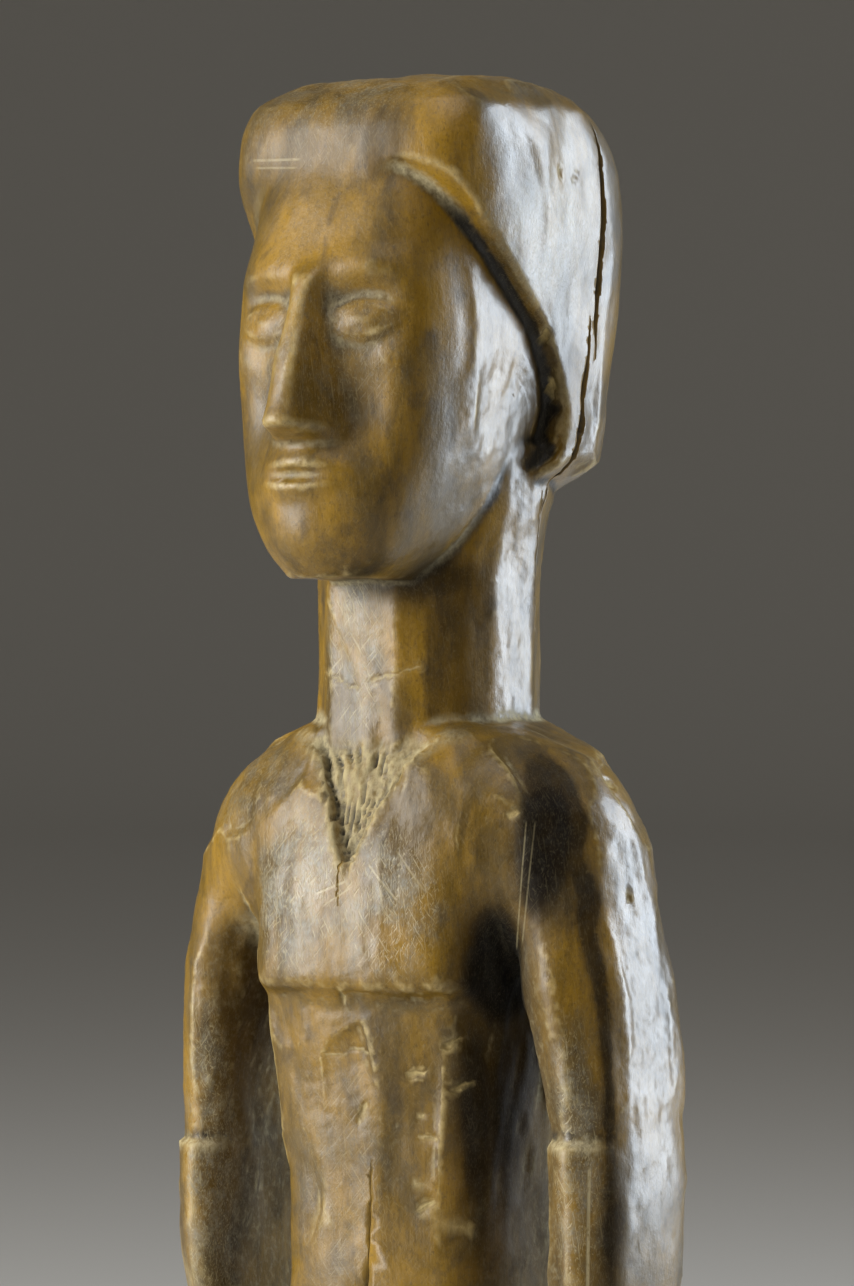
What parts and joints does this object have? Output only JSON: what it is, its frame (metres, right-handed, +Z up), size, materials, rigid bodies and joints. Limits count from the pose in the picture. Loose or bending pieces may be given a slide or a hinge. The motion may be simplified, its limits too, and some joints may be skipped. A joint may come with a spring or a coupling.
{
  "type": "carved figure",
  "caption": "Standing carved wooden figure with a tall cap of hair, long neck, arms at the sides and bent knees on a low round base.",
  "frame": {"origin": "middle of the base's underside", "axes": "+Z up, -Y the way the figure faces, +X towards its left side"},
  "size_m": [0.062, 0.062, 0.235],
  "materials": {
    "carved_wood": "old oiled hardwood with a handled semi-gloss and dust in the cuts"
  },
  "bodies": {
    "root": {"twin_figure": "carved_wood"}
  },
  "joints": []
}
